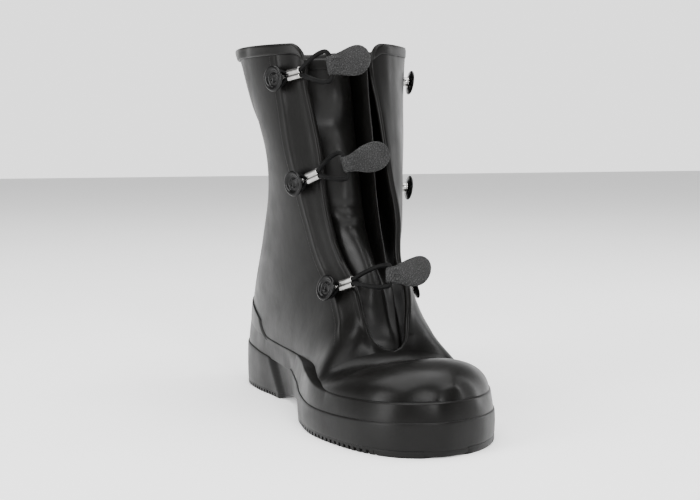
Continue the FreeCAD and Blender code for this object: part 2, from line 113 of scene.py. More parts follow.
# ---- geometry helpers
def hermite(columns, s):
    """Rows of columns joined by a smooth curve, read at s."""
    last = len(columns) - 1
    s = np.asarray(s, float)
    i = np.clip(s.astype(int), 0, last - 1)
    t = (s - i)[..., None]
    padded = np.vstack([2 * columns[0] - columns[1], columns, 2 * columns[-1] - columns[-2]])
    p0, p1, p2, p3 = padded[i], padded[i + 1], padded[i + 2], padded[i + 3]
    m1, m2 = (p2 - p0) / 2, (p3 - p1) / 2
    rise = 3 * t**2 - 2 * t**3
    return (1 - rise) * p1 + (t**3 - 2 * t**2 + t) * m1 + rise * p2 + (t**3 - t**2) * m2


def cubic(t, h, a, slope_a, b, slope_b):
    """A cubic from a to b over a step of length h, with the slopes at its ends, read at share t."""
    return ((2 * t**3 - 3 * t**2 + 1) * a + (t**3 - 2 * t**2 + t) * h * slope_a
            + (3 * t**2 - 2 * t**3) * b + (t**3 - t**2) * h * slope_b)


def curve_through(points, places, wanted):
    """A smooth curve that passes through points at the given places, read at the wanted places."""
    slopes = np.gradient(points, places, axis=0)
    i = np.clip(np.searchsorted(places, wanted, side="right") - 1, 0, len(points) - 2)
    h = (places[i + 1] - places[i])[:, None]
    t = (wanted - places[i])[:, None] / h
    return cubic(t, h, points[i], slopes[i], points[i + 1], slopes[i + 1])


def smooth_curve(points, x):
    """A smooth curve through (x, y) points, read at x."""
    pts = np.array(points, float)
    px, py = pts[:, 0], pts[:, 1]
    slope = np.gradient(py, px)
    x = np.clip(x, px[0], px[-1])
    i = np.clip(np.searchsorted(px, x, side="right") - 1, 0, len(px) - 2)
    h = px[i + 1] - px[i]
    t = (x - px[i]) / h
    return cubic(t, h, py[i], slope[i], py[i + 1], slope[i + 1])


def smoothstep(x, low, high):
    t = np.clip((x - low) / (high - low), 0, 1)
    return t * t * (3 - 2 * t)


def bell(x, width):
    return np.exp(-(x / width) ** 2)


def power(c, n):
    return np.copysign(np.abs(c) ** (2.0 / n), c)


def upper_point(s, turn, out=0.0):
    """Points of the upper. turn 0 is the front, 0.25 the outer side, 0.5 the back."""
    s, turn = np.broadcast_arrays(np.asarray(s, float), np.asarray(turn, float))
    fy, fz, by, bz, inner, outer, nf, nb, m = np.moveaxis(hermite(COLUMNS, s), -1, 0)
    length = np.hypot(by - fy, bz - fz)
    a = 2 * math.pi * turn
    front = np.cos(a) >= 0
    n = np.where(front, nf, nb)
    half = np.where(front, m, 1 - m) * length + out
    along = m * length - half * power(np.cos(a), n)
    width = np.where(np.sin(a) >= 0, outer, inner) + out
    x = width * power(np.sin(a), n)
    return np.stack([x, fy + (by - fy) * along / length, fz + (bz - fz) * along / length], -1)


def bisect(wanted, low, high, rounds=40):
    """Roots of wanted(t), which is negative at low and positive at high, for arrays of t."""
    low, high = np.array(low, float), np.array(high, float)
    for _ in range(rounds):
        middle = (low + high) / 2
        positive = wanted(middle) > 0
        high = np.where(positive, middle, high)
        low = np.where(positive, low, middle)
    return (low + high) / 2


def edge_turn(s, side):
    """How far round the section the opening's edge lies, as a turn from the front."""
    s = np.asarray(s, float)

    def beyond(t):
        p = upper_point(s, side * t)
        return np.abs(p[..., 0]) - smooth_curve(EDGE[side], p[..., 2])
    found = bisect(beyond, np.zeros_like(s), np.full_like(s, 0.2))
    return np.where((upper_point(s, 0 * s)[..., 2] > U_BOTTOM) & (s < TOE_SECTION), found, 0.0)


def seam_turn(s, side):
    """Turn at which the facing's rear edge lies."""
    s = np.asarray(s, float)
    shift = OUTER_SEAM_SHIFT if side > 0 else 0.0

    def beyond(t):
        p = upper_point(s, side * t)
        return p[..., 1] - smooth_curve(SEAM, p[..., 2]) - shift
    return bisect(beyond, np.full_like(s, 0.02), np.full_like(s, 0.33))


def turned_to(looks, looks_at, reference):
    """Normals, turned over if those of looks_at look against the reference."""
    return -looks if np.sum(looks_at * reference) < 0 else looks


def unit(v):
    v = np.asarray(v, float)
    return v / np.maximum(np.linalg.norm(v, axis=-1, keepdims=True), 1e-12)


def grid_normals(grid, wrap=False):
    """Normals of a grid of points, rows by columns."""
    down = np.gradient(grid, axis=0)
    if wrap:
        wide = np.concatenate([grid[:, -2:-1], grid, grid[:, 1:2]], axis=1)
        along = np.gradient(wide, axis=1)[:, 1:-1]
    else:
        along = np.gradient(grid, axis=1)
    return unit(np.cross(along, down))


def grid_faces(rows, columns):
    r, c = np.meshgrid(np.arange(rows - 1), np.arange(columns - 1), indexing="ij")
    a = (r * columns + c).ravel()
    return np.stack([a, a + 1, a + columns + 1, a + columns], -1)


def round_faces(rows, columns, closed=False):
    """Faces of a grid whose columns run round, and whose rows do so too if it is closed."""
    r, c = np.meshgrid(np.arange(rows if closed else rows - 1), np.arange(columns), indexing="ij")
    n, q = (c + 1) % columns, (r + 1) % rows
    quad = np.stack([r * columns + c, r * columns + n, q * columns + n, q * columns + c], -1)
    return quad.reshape(-1, 4)


def make_mesh(name, points, faces, normals=None, smooth=True):
    """A mesh object from points in millimetres."""
    mesh = bpy.data.meshes.new(name)
    faces = [list(map(int, f)) for f in faces]
    mesh.from_pydata((np.asarray(points, float) * MM).tolist(), [], faces)
    mesh.polygons.foreach_set("use_smooth", [smooth] * len(mesh.polygons))
    mesh.update()
    if normals is not None:
        mesh.normals_split_custom_set_from_vertices([tuple(n) for n in normals])
    piece = bpy.data.objects.new(name, mesh)
    bpy.context.scene.collection.objects.link(piece)
    return piece


def weld(piece, distance=0.0005 * MM):
    """Joins points that lie together, and makes the normals face out."""
    work = bmesh.new()
    work.from_mesh(piece.data)
    bmesh.ops.remove_doubles(work, verts=work.verts, dist=distance)
    bmesh.ops.dissolve_degenerate(work, edges=work.edges, dist=distance)
    bmesh.ops.recalc_face_normals(work, faces=work.faces)
    work.to_mesh(piece.data)
    work.free()


def sharpen(piece, degrees):
    """Smooth shading that breaks at edges sharper than this."""
    piece.data.set_sharp_from_angle(angle=math.radians(degrees))


def finish_piece(piece, material, nodes, body=None):
    """Gives a piece its material, hides the CAD nodes that it stands for, and hangs it on the body that it
    rides on.
    """
    piece.data.materials.append(material)
    if nodes:
        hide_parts(*nodes)
    if body:
        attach(piece, body)
    return piece


# ---- materials
def new_material(name):
    """A material with its node tree, its shader and its object coordinates."""
    material = bpy.data.materials.new(name)
    material.use_nodes = True
    tree = material.node_tree
    place = tree.nodes.new("ShaderNodeTexCoord").outputs["Object"]
    return material, tree, tree.nodes["Principled BSDF"], place


def add(tree, kind, **values):
    """A shader node with its inputs set."""
    node = tree.nodes.new(kind)
    for key, value in values.items():
        node.inputs[key].default_value = value
    return node


def texture(tree, place, kind, **values):
    """A procedural texture read at place."""
    node = add(tree, "ShaderNodeTex" + kind, **values)
    tree.links.new(place, node.inputs["Vector"])
    return node


def emboss(tree, shader, height, strength, distance, over=None):
    """A bump from height, over another normal if one is given."""
    node = add(tree, "ShaderNodeBump", Strength=strength, Distance=distance)
    tree.links.new(height, node.inputs["Height"])
    if over:
        tree.links.new(over, node.inputs["Normal"])
    tree.links.new(node.outputs["Normal"], shader.inputs["Normal"])
    return node.outputs["Normal"]


def ramp_between(tree, source, low, high, at=(0.3, 0.7)):
    ramp = tree.nodes.new("ShaderNodeValToRGB")
    for element, position, colour in zip(ramp.color_ramp.elements, at, (low, high)):
        element.position = position
        element.color = (*colour, 1)
    tree.links.new(source, ramp.inputs["Fac"])
    return ramp.outputs["Color"]


def grey(v):
    return (v, v, v)


def rubber(name, dark, light, rough, bump=0.03, specular=0.5):
    """Satin moulded rubber: faint bloom, small scuffs and a fine skin texture."""
    material, tree, shader, place = new_material(name)
    bloom = texture(tree, place, "Noise", Scale=18.0, Detail=5.0, Roughness=0.6)
    fine = texture(tree, place, "Noise", Scale=900.0, Detail=3.0, Roughness=0.55)
    broad = texture(tree, place, "Noise", Scale=60.0, Detail=4.0, Roughness=0.5)
    tree.links.new(ramp_between(tree, bloom.outputs["Fac"], dark, light), shader.inputs["Base Color"])
    gloss = ramp_between(tree, broad.outputs["Fac"], grey(rough - 0.05), grey(rough + 0.06))
    tree.links.new(gloss, shader.inputs["Roughness"])
    shader.inputs["Specular IOR Level"].default_value = specular
    skin_bump = emboss(tree, shader, fine.outputs["Fac"], bump, 0.0003)
    emboss(tree, shader, broad.outputs["Fac"], 0.12, 0.002, over=skin_bump)
    return material


def leather(name):
    """Pebble-grained leather, darker in the creases of the grain."""
    material, tree, shader, place = new_material(name)
    warp = texture(tree, place, "Noise", Scale=500.0, Detail=3.0)
    shade = texture(tree, place, "Noise", Scale=120.0, Detail=4.0)
    bent = add(tree, "ShaderNodeVectorMath")
    bent.operation = "MULTIPLY_ADD"
    bent.inputs[1].default_value = (0.0012, 0.0012, 0.0012)
    tree.links.new(warp.outputs["Color"], bent.inputs[0])
    tree.links.new(place, bent.inputs[2])
    grain = texture(tree, bent.outputs["Vector"], "Voronoi", Scale=620.0)
    grain.feature = "DISTANCE_TO_EDGE"
    distance = grain.outputs["Distance"]
    blend = add(tree, "ShaderNodeMixRGB")
    blend.blend_type = "MULTIPLY"
    blend.inputs["Fac"].default_value = 0.5
    tone = ramp_between(tree, distance, grey(0.006), grey(0.024), at=(0.0, 0.24))
    patches = ramp_between(tree, shade.outputs["Fac"], grey(0.55), grey(1.0))
    tree.links.new(tone, blend.inputs["Color1"])
    tree.links.new(patches, blend.inputs["Color2"])
    tree.links.new(blend.outputs["Color"], shader.inputs["Base Color"])
    shader.inputs["Roughness"].default_value = 0.48
    shader.inputs["Specular IOR Level"].default_value = 0.25
    emboss(tree, shader, ramp_between(tree, distance, grey(0.0), grey(1.0), at=(0.0, 0.35)), 0.8, 0.0008)
    return material


def metal(name):
    """Polished metal with fine drawing lines and small dents."""
    material, tree, shader, place = new_material(name)
    lines = texture(tree, place, "Noise", Scale=700.0, Detail=4.0)
    dents = texture(tree, place, "Noise", Scale=180.0, Detail=2.0)
    colour = ramp_between(tree, dents.outputs["Fac"], (0.25, 0.247, 0.24), (0.42, 0.41, 0.4))
    gloss = ramp_between(tree, lines.outputs["Fac"], grey(0.16), grey(0.28))
    tree.links.new(colour, shader.inputs["Base Color"])
    tree.links.new(gloss, shader.inputs["Roughness"])
    shader.inputs["Metallic"].default_value = 1.0
    emboss(tree, shader, dents.outputs["Fac"], 0.15, 0.0003)
    return material


def cell_cover(name, cells, patches, dark, light, rough, bump, depth, specular=None):
    """A covering of small cells, with patches of lighter and darker colour."""
    material, tree, shader, place = new_material(name)
    cell = texture(tree, place, "Voronoi", Scale=cells)
    patch = texture(tree, place, "Noise", **patches)
    colour = ramp_between(tree, patch.outputs["Fac"], grey(dark), grey(light))
    tree.links.new(colour, shader.inputs["Base Color"])
    shader.inputs["Roughness"].default_value = rough
    if specular is not None:
        shader.inputs["Specular IOR Level"].default_value = specular
    emboss(tree, shader, cell.outputs["Distance"], bump, depth)
    return material


UPPER = rubber("upper_rubber", (0.0026, 0.0025, 0.0023), (0.0042, 0.004, 0.0037), 0.33, specular=0.12)
SOLE = rubber("sole_rubber", (0.0034, 0.0033, 0.0031), (0.0054, 0.0052, 0.005), 0.4, bump=0.06, specular=0.14)
STRIP = rubber("strip_rubber", (0.0024, 0.0023, 0.0021), (0.0039, 0.0037, 0.0034), 0.34, specular=0.11)
TRIM = rubber("trim_rubber", (0.003, 0.0029, 0.0027), (0.0048, 0.0046, 0.0043), 0.36, specular=0.13)
GUSSET = rubber("gusset_rubber", (0.0026, 0.0025, 0.0023), (0.0042, 0.004, 0.0037), 0.4, specular=0.2)
BUTTON = rubber("button_black", (0.0016, 0.0016, 0.0016), (0.003, 0.003, 0.003), 0.16, bump=0.01,
                specular=0.16)
METAL = metal("polished_metal")
CORD = cell_cover("elastic_cord", 1500.0, {"Scale": 150.0, "Detail": 3.0}, 0.002, 0.005, 0.55, 0.25, 0.0003,
                  0.06)
LEATHER = leather("tab_leather")
LINING = cell_cover("lining", 700.0, {"Scale": 40.0, "Detail": 4.0}, 0.03, 0.06, 0.9, 0.5, 0.0008)


# ---- camera, lights and floor
IMAGE_WIDTH, FOCAL_PIXELS, SENSOR = 700, 1300.0, 36.0
CAMERA_PLACE, CAMERA_TURN, CAMERA_PITCH = (-0.3796, -0.7717, 0.1962), 23.424, 4.8366


def make_camera():
    """A camera at the angle of the photograph."""
    data = bpy.data.cameras.new("camera")
    data.sensor_width = SENSOR
    data.lens = FOCAL_PIXELS / IMAGE_WIDTH * SENSOR
    camera = bpy.data.objects.new("camera", data)
    camera.location = CAMERA_PLACE
    camera.rotation_euler = (math.radians(90 - CAMERA_PITCH), 0, math.radians(-CAMERA_TURN))
    bpy.context.scene.collection.objects.link(camera)
    bpy.context.scene.camera = camera


def make_light(name, place, aim, size, watts):
    data = bpy.data.lights.new(name, "AREA")
    data.shape = "RECTANGLE"
    data.size, data.size_y = size
    data.energy = watts
    light = bpy.data.objects.new(name, data)
    light.location = place
    light.rotation_euler = (Vector(aim) - Vector(place)).to_track_quat("-Z", "Y").to_euler()
    bpy.context.scene.collection.objects.link(light)


def make_studio():
    """A pale surround, four softboxes and a pale floor."""
    world = bpy.data.worlds.new("studio")
    bpy.context.scene.world = world
    world.use_nodes = True
    tree = world.node_tree
    background = tree.nodes["Background"]
    way = tree.nodes.new("ShaderNodeTexCoord")
    parts = tree.nodes.new("ShaderNodeSeparateXYZ")
    tree.links.new(way.outputs["Generated"], parts.inputs["Vector"])
    sky = ramp_between(tree, parts.outputs["Z"], grey(1.0), grey(0.16), at=(0.12, 0.38))
    tree.links.new(sky, background.inputs["Color"])
    background.inputs["Strength"].default_value = 2.0
    aim = (0, 0.07, 0.12)
    make_light("left_softbox", (-1.3, -0.2, 0.55), aim, (0.45, 1.3), 22)
    make_light("front_softbox", (-0.15, -1.5, 0.95), aim, (0.25, 0.8), 16)
    make_light("right_softbox", (1.3, 0.1, 0.6), aim, (0.3, 1.2), 7)
    make_light("top_softbox", (0.0, 0.1, 2.2), aim, (2.4, 2.4), 110)
    floor = make_mesh("floor", [(-6000, -6000, 0), (6000, -6000, 0), (6000, 6000, 0), (-6000, 6000, 0)],
                      [(0, 1, 2, 3)], smooth=False)
    material, tree, shader, place = new_material("floor")
    speck = texture(tree, place, "Noise", Scale=3.0, Detail=2.0)
    tree.links.new(ramp_between(tree, speck.outputs["Fac"], grey(0.86), grey(0.9)),
                   shader.inputs["Base Color"])
    shader.inputs["Roughness"].default_value = 0.7
    shader.inputs["Emission Color"].default_value = (1, 1, 1, 1)
    shader.inputs["Emission Strength"].default_value = 0.45
    floor.data.materials.append(material)


make_camera()
make_studio()


# ---- the upper's surface
def surface_relief(p):
    """How far the moulded skin stands out, in millimetres, at points p."""
    x, y, z = p[..., 0], p[..., 1], p[..., 2]
    relief = 0.5 * np.sin(y * 0.055 + z * 0.031 + 1.0) * np.sin(z * 0.043 - x * 0.03)
    shaft = smoothstep(z, 60, 110)
    relief = relief - 2.8 * smoothstep(x, 18, 44) * smoothstep(z, 95, 130)
    # soft hollow between ankle and heel
    relief = relief - 2.2 * np.exp(-((y - 150) / 34) ** 2 - ((z - 92) / 30) ** 2)
    # fullness at the back of the waist
    relief = relief + shaft * 0.7 * bell(y + 0.35 * z - 262, 9) - shaft * 0.8 * bell(y + 0.35 * z - 246, 7)
    # crease behind the toe cap, a smile in front view
    smile = y - (16 - 0.006 * (x + 12) ** 2)
    middle = np.exp(-((x + 14) / 34) ** 4)
    on_top = smoothstep(z, 36, 42) * (z < 62)
    relief = relief - 2.6 * bell(smile, 7.5) * middle * on_top
    relief = relief + 1.1 * bell(smile + 12, 5) * middle * on_top
    # lip under the opening
    lip = np.hypot((x + 2) / 1.5, (y - 33) / 1.0)
    relief = relief + 0.8 * bell(lip - 10, 2.2) * on_top
    return relief


def skin(s, turn, out=0.0):
    """The upper's surface with its relief."""
    flat = upper_point(s, turn)
    step = 1e-3
    down = upper_point(np.clip(s + step, 0, LAST), turn) - upper_point(np.clip(s - step, 0, LAST), turn)
    along = upper_point(s, turn + step) - upper_point(s, turn - step)
    normal = unit(np.cross(along, down))
    centre = (upper_point(s, 0 * turn) + upper_point(s, 0 * turn + 0.5)) / 2
    away = np.sum((flat - centre) * normal, -1, keepdims=True)
    normal = np.where(away < 0, -normal, normal)
    return flat + normal * (out + surface_relief(flat))[..., None], normal


def top_drop(distance):
    """How far the cuff's top edge falls near the flap's front corner."""
    share = np.clip(1 - distance / CORNER_RADIUS, 0, 1)
    return CORNER_DROP * (1 - np.sqrt(np.maximum(1 - share ** 2, 0)))


COLUMN_COUNT = 261
FRONT_SHARE = 0.35                  # share of the columns that moves back with the opening's edge
STILL_FROM, STILL_TO = 0.44, 0.56   # shares of the columns between which the back is cut from the flaps
U_ROW = float(bisect(lambda s: U_BOTTOM - upper_point(s, 0 * s)[..., 2], np.array(10.5), np.array(12.0)))


def upper_turns(s):
    """Turns of the columns of one or more rows: the front columns move back to the opening's edges."""
    u = np.linspace(0, 1, COLUMN_COUNT)
    front_out, front_in = edge_turn(s, 1)[:, None], edge_turn(s, -1)[:, None]
    from_outer = np.clip(1 - u / FRONT_SHARE, 0, 1)
    from_inner = np.clip(1 - (1 - u) / FRONT_SHARE, 0, 1)
    return u + front_out * from_outer - front_in * from_inner


def row_places():
    """Section numbers of the rows, close together near the bottom of the opening."""
    shaft = np.linspace(1.0, 8.0, 92)
    throat = 8.0 + (U_ROW - 8.0) * (1 - (1 - np.linspace(0, 1, 44)[1:-1]) ** 1.5)
    toe = np.linspace(U_ROW, LAST, 64)
    return np.concatenate([shaft, throat, [U_ROW - 0.004], toe])


ROWS = row_places()
OPEN_ROWS = int(np.sum(ROWS < U_ROW - 1e-6))
TURNS = upper_turns(ROWS)


def with_corners(rows, turns):
    """Row numbers lowered near the flaps' top corners."""
    s = np.repeat(rows[:, None], turns.shape[1], axis=1)
    first = upper_point(np.full(turns.shape[1], 1.0), turns[0])
    drop = np.zeros(turns.shape[1])
    for end in (first[0], first[-1]):
        drop = np.maximum(drop, top_drop(np.linalg.norm(first - end, axis=1)))
    s_top = 1.0 + drop / CUFF_STEP
    reach = np.clip((2.0 - s) / 1.0, 0, 1)
    return np.where(s < 2.0, s + (s_top - 1.0)[None, :] * reach, s)


S_GRID = with_corners(ROWS, TURNS)
OUTER_SKIN, NORMALS = skin(S_GRID, TURNS)
INNER_SKIN = skin(S_GRID, TURNS, -WALL)[0]


TOE_TIP_SHIFT = (-1.6, -3.6, -0.8)  # from the last row's middle to the tip of the dome
TOE_TIP_START = 52.0                # slope at which the dome begins, in degrees


def tip_rows(grid, centre_shift, count=7):
    """Rows that close the toe with a dome."""
    last = grid[-1]
    centre = last.mean(0)
    start = math.radians(TOE_TIP_START)
    rows = []
    for k in range(1, count + 1):
        a = start + (math.pi / 2 - start) * k / count
        rise = (math.sin(a) - math.sin(start)) / (1 - math.sin(start))
        rows.append(centre + (last - centre) * max(math.cos(a),
                                                   0.02) / math.cos(start) + np.array(centre_shift) * rise)
    return np.concatenate([grid, np.array(rows)], axis=0)


def split_columns():
    """First and last column of the strip at the back, between the flaps."""
    return int(COLUMN_COUNT * STILL_FROM), int(COLUMN_COUNT * STILL_TO)


def facing_faces(points, normals, faces):
    """The faces, turned over if they look against the normals."""
    corners = points[faces]
    looks = np.cross(corners[:, 2] - corners[:, 0], corners[:, 3] - corners[:, 1])
    if np.sum(looks * normals[faces[:, 0]]) < 0:
        return faces[:, ::-1]
    return faces


def submesh(name, blocks):
    """One mesh from several grids of points with their normals."""
    points, normals, faces, start = [], [], [], 0
    for grid, grid_n in blocks:
        rows, columns = grid.shape[:2]
        flat, flat_n = grid.reshape(-1, 3), grid_n.reshape(-1, 3)
        points.append(flat)
        normals.append(flat_n)
        faces.append(facing_faces(flat, flat_n, grid_faces(rows, columns)) + start)
        start += rows * columns
    return make_mesh(name, np.concatenate(points), np.concatenate(faces), np.concatenate(normals))


def rim(outer, inner, count=5):
    """A rounded edge that joins two borders of the same length."""
    strips, normals = [], []
    for k in range(count + 1):
        a = math.pi * k / count
        middle = (outer + inner) / 2
        half = (outer - inner) / 2
        along = np.gradient(outer, axis=0)
        ahead = unit(np.cross(along, half)) * np.linalg.norm(half, axis=-1, keepdims=True)
        if np.mean(ahead[:, 1]) > 0:
            ahead = -ahead
        strips.append(middle + half * math.cos(a) + ahead * math.sin(a))
        normals.append(unit(half * math.cos(a) + ahead * math.sin(a)))
    return np.array(strips), np.array(normals)


def make_upper():
    """The foot and the back of the shaft, and a flap on each side."""
    left, right = split_columns()
    full = tip_rows(OUTER_SKIN, TOE_TIP_SHIFT)
    full_n = grid_normals(full, wrap=True)
    full_n = turned_to(full_n, full_n[:len(NORMALS)], NORMALS)
    full_n[:len(NORMALS)] = NORMALS
    back = (slice(0, OPEN_ROWS + 1), slice(left, right + 1))
    body = submesh("upper_body", [
        (OUTER_SKIN[back], NORMALS[back]), (INNER_SKIN[back], -NORMALS[back]),
        (full[OPEN_ROWS:], full_n[OPEN_ROWS:]), (INNER_SKIN[OPEN_ROWS:], -NORMALS[OPEN_ROWS:])])
    finish_piece(body, UPPER, ["upper"], "boot")
    rows = slice(0, OPEN_ROWS + 1)
    for side, columns, edge in ((1, slice(0, left + 1), 0),
                                (-1, slice(right, COLUMN_COUNT), COLUMN_COUNT - 1)):
        lip, lip_n = rim(OUTER_SKIN[rows, edge], INNER_SKIN[rows, edge])
        flap = submesh("upper_flap_" + SIDE_NAME[side], [
            (OUTER_SKIN[rows, columns], NORMALS[rows, columns]),
            (INNER_SKIN[rows, columns], -NORMALS[rows, columns]), (lip, lip_n)])
        finish_piece(flap, UPPER, ["flap_" + SIDE_NAME[side]])
        blend_flap(flap)


def blend_flap(piece):
    """Bakes the piece's placement into its points."""
    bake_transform(piece)


make_upper()


# ---- facings and bindings
def cuff_distance(turns, side):
    """Distance from the flap's front edge along the cuff, in millimetres."""
    edge = edge_turn(np.array([1.0]), side)[0]
    return np.linalg.norm(upper_point(1.0, turns) - upper_point(1.0, side * edge), axis=-1)


def lowered(s, top_s):
    """Rows near the cuff moved down to a lowered top edge."""
    return np.where(s < 2.0, s + (top_s - 1.0) * np.clip(2.0 - s, 0, 1), s)


def outward_normals(grid, s, turns):
    """Normals of a grid that lies over the upper, looking outwards."""
    looks = grid_normals(grid)
    return looks if np.sum(looks * skin(s, turns)[1]) > 0 else -looks


def make_facing(side):
    """The reinforcing strip along the flap's front edge, rolled round the edge and on inside."""
    rows = ROWS[ROWS < U_ROW - 0.02]
    edge, seam = edge_turn(rows, side), seam_turn(rows, side)
    seam = np.maximum(seam, edge + 0.004)
    across = np.concatenate([np.linspace(0, 0.965, 40), [0.975, 0.982, 0.987, 0.991, 0.995]])
    rise = np.concatenate([np.full(40, FACING), [FACING, FACING * 0.92, FACING * 0.6, 0.1, -0.5]])
    turns = edge[:, None] + (seam - edge)[:, None] * across[None, :]
    top = 1.0 + top_drop(cuff_distance(side * turns[0], side)) / CUFF_STEP
    s = lowered(np.repeat(rows[:, None], len(across), 1), top[None, :])
    out = np.repeat(rise[None, :], len(rows), 0)
    z = upper_point(s, side * turns)[..., 2]
    out = out + 0.55 * bell(across[None, :] - 0.74, 0.075) - 0.6 * bell(across[None, :] - 0.45, 0.2)
    out = out + 0.5 * bell(across[None, :], 0.06)
    fade = smoothstep(z, 54, 66)
    out = out * fade + 0.15 * (1 - fade)
    face = skin(s, side * turns, out)[0]
    face_n = outward_normals(face, s, side * turns)
    back_turns = edge[:, None] + np.linspace(0, 0.02, 6)[None, :]
    back_out = np.repeat(np.array([-WALL - 0.7] * 5 + [-WALL + 0.3])[None, :], len(rows), 0)
    back, back_n = skin(lowered(np.repeat(rows[:, None], 6, 1), top[:1, None]), side * back_turns, back_out)
    lip, lip_n = rim(face[:, 0], back[:, 0], count=8)
    piece = submesh("facing_strip_" + SIDE_NAME[side], [(face, face_n), (back, -back_n), (lip, lip_n)])
    finish_piece(piece, STRIP, ["facing_" + SIDE_NAME[side]])
    blend_flap(piece)


BINDING_PROFILE = [(0.1, 1.0), (1.5, 1.0), (2.0, 0.93), (2.1, 0.8), (2.1, 0.5), (2.0, 0.25), (1.6, 0.08),
                   (0.9, 0.0), (-1.0, -0.04), (-WALL - 0.1, 0.0), (-WALL - 0.8, 0.1), (-WALL - 1.1, 0.3),
                   (-WALL - 1.1, 0.9), (-WALL + 0.3, 1.0)]


def make_binding(name, turns, side, nodes):
    """The band over the cuff's edge: outside, over the top and down inside."""
    distance = cuff_distance(turns, side) if side else np.full(len(turns), 99.0)
    top = 1.0 + top_drop(distance) / CUFF_STEP
    foot = 1.0 + (BINDING_HEIGHT + 4.5 * np.clip(1 - distance / 10, 0, 1) ** 2) / CUFF_STEP
    rows, normals = [], []
    for out, share in BINDING_PROFILE:
        points, normal = skin(top + (foot - top) * share, turns, np.full(len(turns), out))
        rows.append(points)
        normals.append(normal)
    grid = np.array(rows)
    looks = grid_normals(grid)
    piece = submesh(name, [(grid, turned_to(looks, looks[3], normals[3]))])
    finish_piece(piece, TRIM, nodes)
    return piece


def make_bindings():
    left, right = split_columns()
    top_turns = TURNS[0]
    outer = make_binding("cuff_binding_outer_band", top_turns[:left + 1], 1, ["cuff_binding_outer"])
    inner = make_binding("cuff_binding_inner_band", top_turns[right:], -1, ["cuff_binding_inner"])
    back = make_binding("cuff_binding_back_band", top_turns[left:right + 1], 0, ["cuff_binding_back"])
    blend_flap(outer)
    blend_flap(inner)
    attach(back, "boot")


make_facing(-1)
make_facing(1)
make_bindings()


# ---- gusset
# Plan of the bellows at each height: z, then x, y of the inner flap's side, bulge, middle,
# hollow, front fold, pleat and outer flap's side
GUSSET_PLAN = [
    (50, (-6, 31), (-3, 30), (0, 30), (2, 30), (5, 30), (7, 31), (9, 33)),
    (58, (-15, 36), (-8, 33), (-1, 32), (3, 33), (7, 34), (10, 39), (13, 38)),
    (68, (-20, 44), (-10, 40), (-1, 39), (3, 40), (8, 40), (12, 46), (17, 46)),
    (90, (-24, 55), (-9, 50), (0, 51), (5, 56), (10, 52), (13, 63), (22, 60)),
    (112, (-28, 66), (-10, 60), (1, 65), (5, 76), (10, 62), (14, 78), (25, 70)),
    (135, (-34, 79), (-13, 70), (1, 79), (5, 97), (9, 71), (14, 90), (26, 78)),
    (190, (-39, 96), (-15, 83), (1, 95), (5, 116), (9, 83), (16, 105), (31, 90)),
    (254, (-45, 111), (-18, 96), (0, 108), (4, 126), (8, 93), (19, 114), (36, 104)),
]
GUSSET_THICK = 1.5
HIDDEN_COLUMNS = 8                  # the gusset is fixed this many columns behind the flap's edge
GUSSET_LOW, GUSSET_HIGH, BAND_LOW = 50.0, 253.5, 246.4


def gusset_levels(z):
    """Points of the folds at heights z: rows by folds by (x, y)."""
    heights = np.array([level[0] for level in GUSSET_PLAN], float)
    folds = np.array([level[1:] for level in GUSSET_PLAN], float)
    count = folds.shape[1]
    out = np.zeros((len(z), count, 2))
    for f in range(count):
        for axis in range(2):
            out[:, f, axis] = smooth_curve(list(zip(heights, folds[:, f, axis])), z)
    low_share = smoothstep(z, 52, 62)[:, None]
    for f, column in ((0, COLUMN_COUNT - 1 - HIDDEN_COLUMNS), (count - 1, HIDDEN_COLUMNS)):
        line = INNER_SKIN[:OPEN_ROWS, column][::-1]
        skin = np.column_stack([np.interp(z, line[:, 2], line[:, a]) for a in range(2)])
        behind = skin + np.array([0, 1.0])
        out[:, f] = out[:, f] * (1 - low_share) + behind * low_share
    return out


def gusset_sheet(z, first, last, count):
    """A sheet through the folds first to last, smooth between them."""
    folds = gusset_levels(z)[:, first:last + 1]
    u = np.linspace(0, last - first, count)
    rows = []
    for r in range(len(z)):
        xy = hermite(folds[r], u)
        rows.append(np.column_stack([xy, np.full(count, z[r])]))
    grid = np.array(rows)
    x, height = grid[..., 0], grid[..., 2]
    middle = np.exp(-((x + 15) / 16) ** 4)
    push = 3.4 * bell(height - 208, 11) + 1.8 * bell(height - 149, 3.6) + 2.0 * bell(height - 135, 4.6)
    push = push - 1.6 * bell(height - 142, 5) - 1.2 * bell(height - 178, 20) - 1.0 * bell(height - 228, 12)
    grid[..., 1] += push * middle * smoothstep(height, 120, 130)
    grid[..., 1] += 0.6 * np.sin(height * 0.11 + x * 0.2) * smoothstep(height, 60, 90)
    return grid


